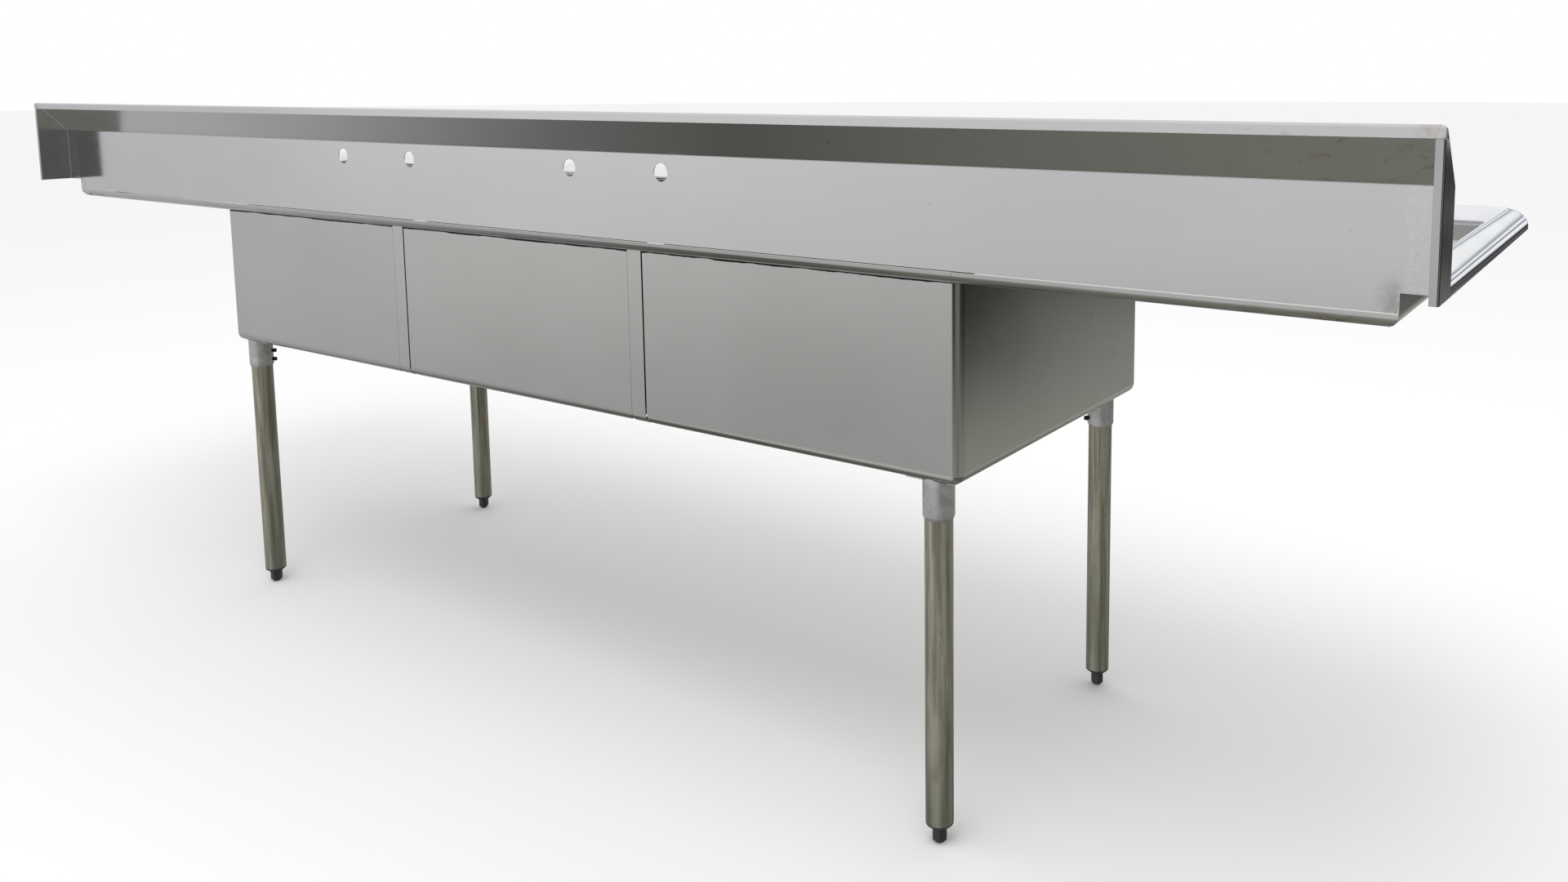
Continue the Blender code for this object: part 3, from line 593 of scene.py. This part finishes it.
def stained_roll_and_under_rim_shade(look, tone, base):
    """Brown and olive stains along the underside of the roll, thicker at its ends, and painted shade on the
    drainboards' end skirts under the rim.
    """
    side = look.from_middle()
    blotch = look.noise((26, 60, 60), 5.0, 0.65, 0.6)
    stain = look.times(
        look.band(look.axis("Z"), *STAIN_HEIGHT),
        look.band(look.axis("Y"), PANEL_FRONT - RIM_WIDTH / 2, PANEL_FRONT),
        look.band(side, *STAIN_ENDS, 0.25, 1.0), look.band(blotch, 0.40, 0.62),
    )
    tone = look.mix(look.times(stain, 0.8), tone, STAIN_OLIVE)
    # Painted shade on the drainboards' end skirts, under the rim
    under_rim_shade = look.times(look.band(side, DECK_OUT - SHEET / 2, DECK_OUT - SHEET / 4), 0.8)
    tone = look.mix(under_rim_shade, tone, UNDER_RIM_SHADE_GREY)
    return tone, look.maths("ADD", base, look.times(stain, 0.2))


def polished_steel():
    look = Look("polished rim", "polished_rim", 1.0)
    lines = look.noise((500, 500, 40), 3.0)
    clouds = look.noise((9, 9, 9), 4.0)
    look.colour(look.mix(look.band(clouds, 0.35, 0.7), (0.84, 0.85, 0.87), (0.76, 0.77, 0.79)))
    look.roughness(look.band(clouds, 0.3, 0.75, 0.025, 0.06))
    look.bump((lines, 0.00002, 0.2), (clouds, 0.002, 0.06))
    return look.made


def galvanised_tube():
    """Old zinc: olive grey with pale and yellow-brown runs down the tube, dark near the floor."""
    look = Look("galvanised tube", "galvanised_tube", 0.75)
    runs = look.noise((110, 110, 4.5), 5.0, 0.6)
    blotches = look.noise((55, 55, 13), 4.0, 0.6, 0.5)
    grain = look.noise((420, 420, 260), 3.0)
    tone = look.mix(look.band(runs, 0.34, 0.66), (0.19, 0.185, 0.145), (0.47, 0.455, 0.37))
    tone = look.mix(look.band(blotches, 0.5, 0.72, 0.0, 0.65), tone, (0.30, 0.23, 0.13))
    tone = look.mix(look.band(grain, 0.58, 0.75, 0.0, 0.35), tone, (0.50, 0.50, 0.45))
    look.colour(look.mix(look.band(look.axis("Z"), *DAMP_HEIGHT, 0.0, 0.4), tone, (0.17, 0.19, 0.15)))
    look.roughness(look.band(runs, 0.3, 0.7, 0.33, 0.5))
    look.bump((grain, 0.0002, 0.25), (runs, 0.0006, 0.25))
    return look.made


def cast_zinc(name, slot, bright, dull):
    """A casting: pebbled skin, a little tarnish."""
    look = Look(name, slot, 0.85)
    pebbles = look.noise((380, 380, 380), 3.0, 0.6)
    tarnish = look.noise((45, 45, 45), 4.0, 0.6)
    look.colour(look.mix(look.band(tarnish, 0.35, 0.7), bright, dull))
    look.roughness(look.band(pebbles, 0.3, 0.7, 0.34, 0.5))
    look.bump((pebbles, 0.0005, 0.45), (tarnish, 0.0008, 0.2))
    return look.made


def moulded(name, slot, colour, worn, rough):
    """Moulded plastic or rubber: fine texture, paler where it is scuffed."""
    look = Look(name, slot, 0.0)
    texture = look.noise((1500, 1500, 1500), 2.0)
    scuffs = look.noise((90, 90, 140), 5.0, 0.7)
    look.colour(look.mix(look.band(scuffs, 0.52, 0.75, 0.0, 0.8), colour, worn))
    look.roughness(look.band(scuffs, 0.3, 0.7, rough, rough + 0.18))
    look.bump((texture, 0.00008, 0.3), (scuffs, 0.0003, 0.2))
    return look.made


def painted_shade_outside(look, tone, base):
    """Painted shade on the outer face of an end plate, in patches."""
    # Painted shade over the outer face, in patches
    outer = look.band(look.from_middle(), PLATE_OUT - SHEET / 2, PLATE_OUT - SHEET / 4)
    patches = look.band(look.noise((30, 22, 34), 3.0, 0.6), 0.35, 0.65, 0.62, 0.95)
    return look.mix(look.times(outer, patches), tone, OUTSIDE_SHADE_GREY), base


def black_oxide():
    look = Look("black oxide screw", "black_screw", 0.9)
    wear = look.noise((700, 700, 700), 4.0, 0.65)
    look.colour(look.mix(look.band(wear, 0.55, 0.75), (0.025, 0.025, 0.027), (0.13, 0.12, 0.11)))
    look.roughness(look.band(wear, 0.3, 0.7, 0.35, 0.55))
    look.bump((wear, 0.0002, 0.3))
    return look.made


LOOKS = {
    "splash": brushed_steel(
        "splash steel", "brushed_stainless", (0.63, 0.63, 0.63), (0.60, 0.60, 0.61), 0.09, 0.14,
        zones=ground_ends_and_shade,
    ),
    # The bowl steel is darker than the splash steel: painted shade under the backsplash's overhang
    "bowl": brushed_steel(
        "bowl steel", "brushed_stainless", (0.535, 0.535, 0.52), (0.505, 0.505, 0.49), 0.12, 0.17,
        zones=joint_painted_shade,
    ),
    # The strip steel matches the darker bowl steel: painted shade under the overhang
    "strip": brushed_steel(
        "strip steel", "brushed_stainless", (0.54, 0.54, 0.525), (0.51, 0.51, 0.495), 0.12, 0.17,
    ),
    "tray": brushed_steel(
        "tray steel", "brushed_stainless", (0.63, 0.63, 0.62), (0.58, 0.58, 0.57), 0.14, 0.22,
        zones=stained_roll_and_under_rim_shade,
    ),
    # The cap steel is darker than the splash steel: painted shade on the end plates
    "cap": brushed_steel(
        "cap steel", "cap_steel", (0.51, 0.51, 0.51), (0.42, 0.42, 0.42), 0.10, 0.18,
        grain="z", smudge=0.5, zones=painted_shade_outside,
    ),
    "drain": brushed_steel(
        "drain steel", "drain_steel", (0.70, 0.70, 0.70), (0.62, 0.62, 0.62), 0.14, 0.22,
    ),
    "rim": polished_steel(),
    "tube": galvanised_tube(),
    "socket": cast_zinc("socket zinc", "socket_zinc", (0.56, 0.56, 0.565), (0.40, 0.40, 0.395)),
    "nut": cast_zinc("nut zinc", "zinc_casting", (0.58, 0.59, 0.61), (0.45, 0.46, 0.47)),
    "collar": moulded("collar plastic", "collar_plastic", (0.035, 0.035, 0.035), (0.11, 0.11, 0.105), 0.42),
    "foot": moulded("foot plastic", "foot_plastic", (0.022, 0.024, 0.024), (0.07, 0.075, 0.075), 0.40),
    "rubber": moulded("black rubber", "black_rubber", (0.018, 0.018, 0.018), (0.05, 0.05, 0.05), 0.62),
    "screw": black_oxide(),
}


# ---------------------------------------------------------------- pieces

def fine_copy(node, look, body="sink", width=EDGE_R, segments=2):
    """A CAD node's shape with its flat faces whole and its edges rounded."""
    bm = bmesh.new()
    bm.from_mesh(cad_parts[node].data)
    bmesh.ops.remove_doubles(bm, verts=bm.verts, dist=MERGE)
    bmesh.ops.dissolve_limit(
        bm, angle_limit=math.radians(FLAT_ANGLE), verts=bm.verts, edges=bm.edges, delimit={"NORMAL"}
    )
    piece = add_piece(node + "_fine", bm, LOOKS[look], body)
    round_edges(piece, width, segments)
    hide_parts(node)
    return piece


def make_strip(node):
    """A cover strip that closes up to one bowl and leaves a dark slot at the other."""
    strip = fine_copy(node, "strip", width=EDGE_R / 2)
    low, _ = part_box(node)
    for vertex in strip.data.vertices:
        if vertex.co.x < low.x + SHEET:
            vertex.co.x += SLOT_WIDENING


def make_backsplash():
    """One bent sheet: wall return, slope and panel, with rounded bends, notched ends and faucet holes."""
    path = filleted(SPLASH_CORNERS, (TOP_BEND_R, SLOPE_BEND_R))
    far = offset_path(path, SHEET)
    ends = (-HALF_LENGTH, HALF_LENGTH)
    sections = [([(x, *p) for p in path], [(x, *p) for p in far]) for x in ends]
    piece = add_piece("backsplash_sheet", sweep(sections), LOOKS["splash"])
    cutters = []
    for side in (-1, 1):
        low, high = sorted((side * END_X, side * (HALF_LENGTH + RIM_WIDTH)))
        cutters.append(block((low, PANEL_FRONT - RIM_WIDTH, PANEL_LOW - SHEET), (high, WALL_Y, SKIRT_Z)))
    pitch = (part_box("bowl_left")[1].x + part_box("bowl_left")[0].x) / 2
    for seam in (-pitch / 2, pitch / 2):
        for side in (-1, 1):
            x, z = seam + side * FAUCET_SPACING / 2, TOP_Z - FAUCET_DROP
            ends = (x, PANEL_FRONT - SHEET, z), (x, PANEL_FRONT + 2 * SHEET, z)
            cutters.append(cylinder(*ends, FAUCET_HOLE_R, ROUND_STEPS))
    cut(piece, join(cutters))
    round_edges(piece)
    crest = max(v.co.z for v in piece.data.vertices)
    for side in (-1, 1):
        cut(piece, corner_cutter(side * HALF_LENGTH, crest, side, 1, RETURN_CORNER_R))
        cut(piece, corner_cutter(side * HALF_LENGTH, TOP_Z - RETURN_HEIGHT, side, -1, RETURN_LOW_R))
    keep_flat(piece)
    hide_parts("backsplash")


def make_end_cap(word):
    """The plate that closes one end of the backsplash, with a flange folded in along the wall."""
    low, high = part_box("end_cap_" + word)
    side = 1 if word == "left" else -1
    outer, inner = (high.x, low.x) if side > 0 else (low.x, high.x)
    path = filleted([(outer, low.y), (outer, high.y), (inner, high.y)], (CAP_FOLD_R,))
    far = offset_path(path, side * SHEET)
    sections = [([(*p, z) for p in path], [(*p, z) for p in far]) for z in (low.z, high.z)]
    cap = add_piece(f"end_cap_{word}_folded", sweep(sections), LOOKS["cap"])
    slope_top, slope_foot = offset_path([Vector(p) for p in SPLASH_CORNERS], SHEET + GAP)[1:3]
    beyond = 2 * RIM_WIDTH
    profile = [
        slope_foot - (slope_top - slope_foot),
        slope_top + (slope_top - slope_foot),
        Vector((slope_foot.x - beyond, slope_top.y + beyond)),
        Vector((slope_foot.x - beyond, slope_foot.y)),
    ]
    bm = bmesh.new()
    ends = [[bm.verts.new((x, *p)) for p in profile] for x in (outer + side * SHEET, inner - side * SHEET)]
    bm.faces.new(ends[0])
    bm.faces.new(ends[1])
    for k in range(len(profile)):
        bm.faces.new((ends[0][k - 1], ends[0][k], ends[1][k], ends[1][k - 1]))
    cut(cap, bm)
    round_edges(cap)
    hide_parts("end_cap_" + word)


def corner_cutter(x, z, side, up, r):
    """What a rounded corner of radius r takes off the wall return at (x, z)."""
    middle = Vector((x - side * r, z - up * r))
    outline = [
        Vector((x + side * r, z - up * r)),
        Vector((x + side * r, z + up * r)),
        Vector((x - side * r, z + up * r)),
    ]
    outline += [
        middle + Vector((side * math.sin(a), up * math.cos(a))) * r
        for a in (math.pi / 2 * k / CORNER_STEPS for k in range(CORNER_STEPS + 1))
    ]
    bm = bmesh.new()
    rows = [[bm.verts.new((p.x, y, p.y)) for p in outline] for y in (WALL_Y - CORNER_CUT, WALL_Y + SHEET)]
    for row in rows:
        bm.faces.new(row)
    for k in range(len(outline)):
        bm.faces.new((rows[0][k - 1], rows[0][k], rows[1][k], rows[1][k - 1]))
    return bm


def make_rim():
    """The edge rolled half a turn along the left end, the front and the right end."""
    roll_r = (RIM_WIDTH + SHEET) / 2
    centre = (RIM_WIDTH - roll_r, RIM_TOP - roll_r)
    path = [
        Vector((-SHEET, SKIRT_Z + GAP)),
        *arc(centre, roll_r, 180, 0, ROLL_STEPS),
        Vector((RIM_WIDTH, rim_low.z)),
    ]
    far = offset_path(path, -SHEET)
    r = TRAY_CORNER_R
    stations = [(Vector((END_X, rim_high.y)), Vector((1, 0)))]
    for side, start in ((1, 0), (-1, -90)):
        middle = Vector((side * (END_X - r), FRONT_Y + r))
        for k in range(CORNER_STEPS + 1):
            angle = math.radians(start - 90 * k / CORNER_STEPS)
            out = Vector((math.cos(angle), math.sin(angle)))
            stations.append((middle + out * r, out))
    stations.append((Vector((-END_X, rim_high.y)), Vector((-1, 0))))
    sections = []
    for base, out in stations:
        near_side = [(*(base + out * d), z) for d, z in path]
        far_side = [(*(base + out * d), z) for d, z in far]
        sections.append((near_side, far_side))
    piece = add_piece("rolled_rim_edge", sweep(sections), LOOKS["rim"])
    round_edges(piece)
    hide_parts("rolled_rim")


def make_leg(word):
    """A leg's open tube, with its socket, set screws, insert and foot."""
    low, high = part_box("leg_tube_" + word)
    centre = ((low.x + high.x) / 2, (low.y + high.y) / 2)
    r, wall, soft = (high.x - low.x) / 2, TUBE_WALL, TUBE_WALL / 2
    outline = [
        (r - wall, low.z + soft),
        (r - wall + soft / 2, low.z),
        (r - soft, low.z),
        (r - soft / 4, low.z + soft / 2),
        (r, low.z + wall),
        (r, high.z),
        (r - wall, high.z),
    ]
    tube = add_piece(
        "leg_tube_" + word + "_pipe", turned(outline, centre), LOOKS["tube"], smooth_angle=TUBE_SMOOTH_ANGLE
    )
    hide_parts("leg_tube_" + word)
    fine_copy("leg_socket_" + word, "socket", width=SOCKET_EDGE_R)
    fine_copy("foot_insert_" + word, "collar", width=INSERT_EDGE_R)
    fine_copy("foot_" + word, "foot", "foot_" + word, width=FOOT_EDGE_R, segments=3)
    for number in (1, 2):
        screw = fine_copy(f"set_screw_{word}_{number}", "screw", width=SCREW_EDGE_R)
        low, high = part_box(f"set_screw_{word}_{number}")
        middle = (low + high) / 2
        away = Vector((middle.x - centre[0], middle.y - centre[1], 0)).normalized()
        reach = max((v.co - middle).dot(away) for v in screw.data.vertices)
        ends = middle + away * (reach - HEX_DEPTH), middle + away * (reach + HEX_DEPTH)
        cut(screw, cylinder(*ends, HEX_R, HEX_STEPS))
        keep_flat(screw)


for word in BOWLS:
    fine_copy("bowl_" + word, "bowl")
    fine_copy("strainer_body_" + word, "drain")
    fine_copy("strainer_gasket_" + word, "rubber")
    fine_copy("strainer_locknut_" + word, "nut")
    fine_copy("strainer_basket_" + word, "drain", "basket_" + word)
    fine_copy("basket_seal_" + word, "rubber", "basket_" + word)
for side in ("left", "right"):
    make_end_cap(side)
    fine_copy("drainboard_" + side, "tray")
    make_strip("back_strip_" + side)
    make_strip("front_strip_" + side)
fine_copy("sink_deck", "tray")
make_backsplash()
make_rim()
for word in LEGS:
    make_leg(word)


# ---------------------------------------------------------------- studio

def make_camera():
    data = bpy.data.cameras.new("camera")
    data.lens = CAMERA_LENS
    data.sensor_width = CAMERA_SENSOR
    data.shift_x, data.shift_y = CAMERA_SHIFT
    camera = bpy.data.objects.new("camera", data)
    bpy.context.scene.collection.objects.link(camera)
    flat = Vector((math.sin(CAMERA_YAW), -math.cos(CAMERA_YAW), 0))
    up = Vector((0, 0, 1))
    ahead = flat * math.cos(CAMERA_PITCH) - up * math.sin(CAMERA_PITCH)
    up = up * math.cos(CAMERA_PITCH) + flat * math.sin(CAMERA_PITCH)
    right = Vector((-math.cos(CAMERA_YAW), -math.sin(CAMERA_YAW), 0))
    tilted = right * math.cos(CAMERA_ROLL) + up * math.sin(CAMERA_ROLL)
    up = up * math.cos(CAMERA_ROLL) - right * math.sin(CAMERA_ROLL)
    turn = Matrix((tilted, up, -ahead)).transposed().to_4x4()
    camera.matrix_world = Matrix.Translation(CAMERA_AT) @ turn
    bpy.context.scene.camera = camera


def make_floor():
    """A pale floor that the steel doesn't mirror."""
    bm = bmesh.new()
    bmesh.ops.create_circle(bm, cap_ends=True, segments=FLOOR_STEPS, radius=FLOOR_R)
    mesh = bpy.data.meshes.new("floor")
    bm.to_mesh(mesh)
    bm.free()
    floor = bpy.data.objects.new("floor", mesh)
    bpy.context.scene.collection.objects.link(floor)
    look = bpy.data.materials.new("pale floor")
    look.use_nodes = True
    shader = look.node_tree.nodes["Principled BSDF"]
    shader.inputs["Base Color"].default_value = (*FLOOR_WHITE, 1)
    shader.inputs["Roughness"].default_value = 0.9
    shader.inputs["Specular IOR Level"].default_value = 0.0
    mesh.materials.append(look)
    floor.visible_glossy = False


def make_world():
    """A white room with darker ends for the steel to mirror, and plain white behind the sink."""
    world = bpy.data.worlds.new("studio")
    world.use_nodes = True
    tree = world.node_tree

    def node(kind, **settings):
        made = tree.nodes.new("ShaderNode" + kind)
        for name, value in settings.items():
            setattr(made, name, value)
        return made

    place = node("TexCoord").outputs["Generated"]
    split = node("SeparateXYZ")
    tree.links.new(place, split.inputs["Vector"])
    share = node("MapRange")
    share.inputs["From Min"].default_value = -1
    tree.links.new(split.outputs["Z"], share.inputs["Value"])

    def by_height(stops):
        """Light that changes with the height of the direction."""
        ramp = node("ValToRGB")
        tree.links.new(share.outputs["Result"], ramp.inputs["Fac"])
        while len(ramp.color_ramp.elements) < len(stops):
            ramp.color_ramp.elements.new(0.5)
        for element, (height, light) in zip(ramp.color_ramp.elements, stops):
            element.position = (height + 1) / 2
            element.color = (*light, 1)
        return ramp.outputs["Color"]

    seen = by_height(ROOM)
    for aim, edge, core, light in FLAGS:
        facing = node("VectorMath", operation="DOT_PRODUCT")
        tree.links.new(place, facing.inputs[0])
        facing.inputs[1].default_value = Vector(aim).normalized()
        spread = node("MapRange", interpolation_type="SMOOTHSTEP")
        tree.links.new(facing.outputs["Value"], spread.inputs["Value"])
        spread.inputs["From Min"].default_value = math.cos(math.radians(edge))
        spread.inputs["From Max"].default_value = math.cos(math.radians(core))
        part = node("Mix", data_type="RGBA")
        tree.links.new(spread.outputs["Result"], part.inputs["Factor"])
        tree.links.new(seen, part.inputs["A"])
        tree.links.new(by_height(light), part.inputs["B"])
        seen = part.outputs["Result"]
    plain = node("Mix", data_type="RGBA")
    tree.links.new(node("LightPath").outputs["Is Camera Ray"], plain.inputs["Factor"])
    tree.links.new(seen, plain.inputs["A"])
    plain.inputs["B"].default_value = (1, 1, 1, 1)
    tree.links.new(plain.outputs["Result"], tree.nodes["Background"].inputs["Color"])
    bpy.context.scene.world = world


def make_light():
    """One soft light from above, which the steel doesn't mirror."""
    data = bpy.data.lights.new("overhead", "AREA")
    data.shape = "DISK"
    data.size = LIGHT_SIZE
    data.energy = LIGHT_POWER
    light = bpy.data.objects.new("overhead", data)
    bpy.context.scene.collection.objects.link(light)
    light.location = LIGHT_AT
    light.rotation_euler = (Vector(LIGHT_AIM) - Vector(LIGHT_AT)).to_track_quat("-Z", "Y").to_euler()
    light.visible_glossy = False


make_camera()
make_floor()
make_world()
make_light()
bpy.context.scene.view_settings.view_transform = "Standard"
